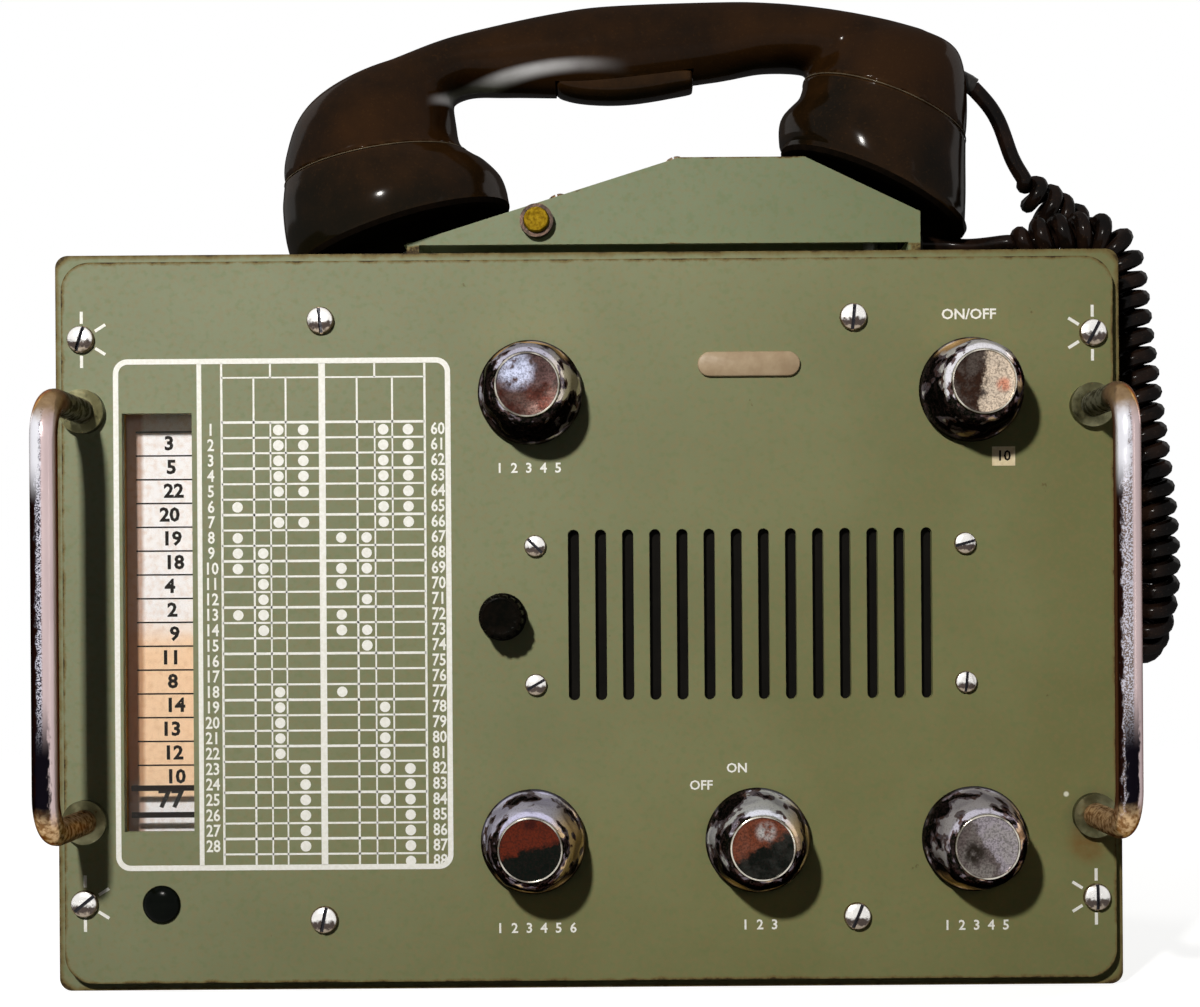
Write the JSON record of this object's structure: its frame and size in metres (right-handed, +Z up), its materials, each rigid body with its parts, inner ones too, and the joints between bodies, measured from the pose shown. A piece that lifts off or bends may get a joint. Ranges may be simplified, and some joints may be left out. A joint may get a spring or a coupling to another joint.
{
  "type": "vhf marine radio",
  "caption": "Marine VHF radiotelephone: steel cabinet with carrying handles, rotary controls, channel window with sliding cursor, loudspeaker, and a corded handset in a cradle on top.",
  "frame": {"origin": "centre of the cabinet's bottom face", "axes": "+Z up, +X to the right of someone facing the set, and the front panel faces -Y"},
  "size_m": [0.3676, 0.222, 0.3293],
  "materials": {
    "olive_paint": "satin",
    "cradle_paint": "satin",
    "chrome": "polished",
    "steel": "satin",
    "black_plastic": "gloss",
    "bakelite": "gloss",
    "rubber": "satin",
    "brass": "worn",
    "clear_plastic": "clear",
    "card": "matte",
    "aluminium": "cast",
    "black_aluminium": "anodised",
    "phenolic": "satin",
    "cloth": "woven",
    "plate": "satin"
  },
  "bodies": {
    "cabinet": {"cabinet_shell": "olive_paint", "front_panel": "olive_paint", "cradle_bracket": "cradle_paint", "panel_screws": "chrome", "grille_screws": "chrome", "left_handle": "chrome", "right_handle": "chrome", "handle_collars": "chrome", "handle_bolts": "steel", "window_tray": "steel", "bush_nuts": "steel", "speaker_frame": "steel", "speaker_magnet": "steel", "cradle_screws": "steel", "potentiometers": "steel", "power_terminals": "steel", "aerial_socket": "steel", "catch_ring": "steel", "hole_plug": "black_plastic", "hook_switch": "black_plastic", "panel_gasket": "rubber", "cord_gland": "rubber", "cord_coil": "rubber", "cord_lead_cradle": "rubber", "window_lens": "clear_plastic", "channel_card": "card", "dial_cord": "card", "speaker_cone": "card", "chassis": "aluminium", "radio_unit": "aluminium", "heat_sink": "black_aluminium", "main_board": "phenolic", "channel_switch": "phenolic", "rotary_switches": "phenolic", "speaker_cloth": "cloth", "nameplate": "plate"},
    "handset": {"handset_shell": "bakelite", "earpiece_cap": "bakelite", "mouthpiece_cap": "bakelite", "capsules": "aluminium", "cord_lead_handset": "rubber"},
    "talk_bar": {"talk_bar": "bakelite"},
    "hook": {"hook_plunger": "steel"},
    "catch": {"catch_button": "brass"},
    "dimmer": {"dimmer_knob": "chrome", "dimmer_spindle": "steel"},
    "on_off": {"on_off_knob": "chrome", "on_off_spindle": "steel"},
    "function": {"function_knob": "chrome", "function_spindle": "steel"},
    "volume": {"volume_knob": "chrome", "volume_spindle": "steel"},
    "squelch": {"squelch_knob": "black_plastic", "squelch_spindle": "steel"},
    "channel": {"channel_knob": "chrome", "channel_spindle": "steel", "drive_drum": "card"},
    "cursor": {"cursor": "clear_plastic"},
    "lower_pulley": {"lower_pulley": "card"},
    "top_pulley": {"top_pulley": "card"}
  },
  "joints": [
    {"name": "handset_lift", "type": "slide", "parent": "cabinet", "child": "handset", "axis": [0, 0, 1], "range_m": [0, 0.06]},
    {"name": "talk_press", "type": "slide", "parent": "handset", "child": "talk_bar", "axis": [0, 0, 1], "range_m": [0, 0.003], "stiffness_N_per_m": 400},
    {"name": "hook_rise", "type": "slide", "parent": "cabinet", "child": "hook", "axis": [0, 0, 1], "range_m": [0, 0.004]},
    {"name": "catch_press", "type": "slide", "parent": "cabinet", "child": "catch", "axis": [0, 1, 0], "range_m": [0, 0.003], "stiffness_N_per_m": 500},
    {"name": "dimmer_turn", "type": "hinge", "parent": "cabinet", "child": "dimmer", "pos_m": [-0.018, -0.079, 0.1895], "axis": [0, 1, 0], "range_deg": [-150, 150]},
    {"name": "on_off_turn", "type": "hinge", "parent": "cabinet", "child": "on_off", "pos_m": [0.1215, -0.079, 0.1895], "axis": [0, 1, 0], "range_deg": [0, 60]},
    {"name": "function_turn", "type": "hinge", "parent": "cabinet", "child": "function", "pos_m": [0.053, -0.079, 0.0475], "axis": [0, 1, 0], "range_deg": [0, 90]},
    {"name": "volume_turn", "type": "hinge", "parent": "cabinet", "child": "volume", "pos_m": [0.1215, -0.079, 0.0475], "axis": [0, 1, 0], "range_deg": [-150, 150]},
    {"name": "squelch_turn", "type": "hinge", "parent": "cabinet", "child": "squelch", "pos_m": [-0.0273, -0.079, 0.1186], "axis": [0, 1, 0], "range_deg": [-150, 150]},
    {"name": "channel_turn", "type": "hinge", "parent": "cabinet", "child": "channel", "pos_m": [-0.018, -0.079, 0.0475], "axis": [0, 1, 0], "range_deg": [0, 337.5]},
    {"name": "cursor_slide", "type": "slide", "parent": "cabinet", "child": "cursor", "axis": [0, 0, 1], "range_m": [0, 0.11605]},
    {"name": "lower_pulley_turn", "type": "hinge", "parent": "cabinet", "child": "lower_pulley", "pos_m": [-0.112, -0.079, 0.0358], "axis": [0, 1, 0], "range_deg": [0, 831.5]},
    {"name": "top_pulley_turn", "type": "hinge", "parent": "cabinet", "child": "top_pulley", "pos_m": [-0.112, -0.079, 0.192], "axis": [0, 1, 0], "range_deg": [0, 831.5]}
  ],
  "couplings": [
    {"joint": "hook_rise", "follows": "handset_lift", "ratio": 0.066666},
    {"joint": "cursor_slide", "follows": "channel_turn", "m_per_rad": 0.0197},
    {"joint": "lower_pulley_turn", "follows": "channel_turn", "ratio": 2.4625},
    {"joint": "top_pulley_turn", "follows": "channel_turn", "ratio": 2.4625}
  ]
}
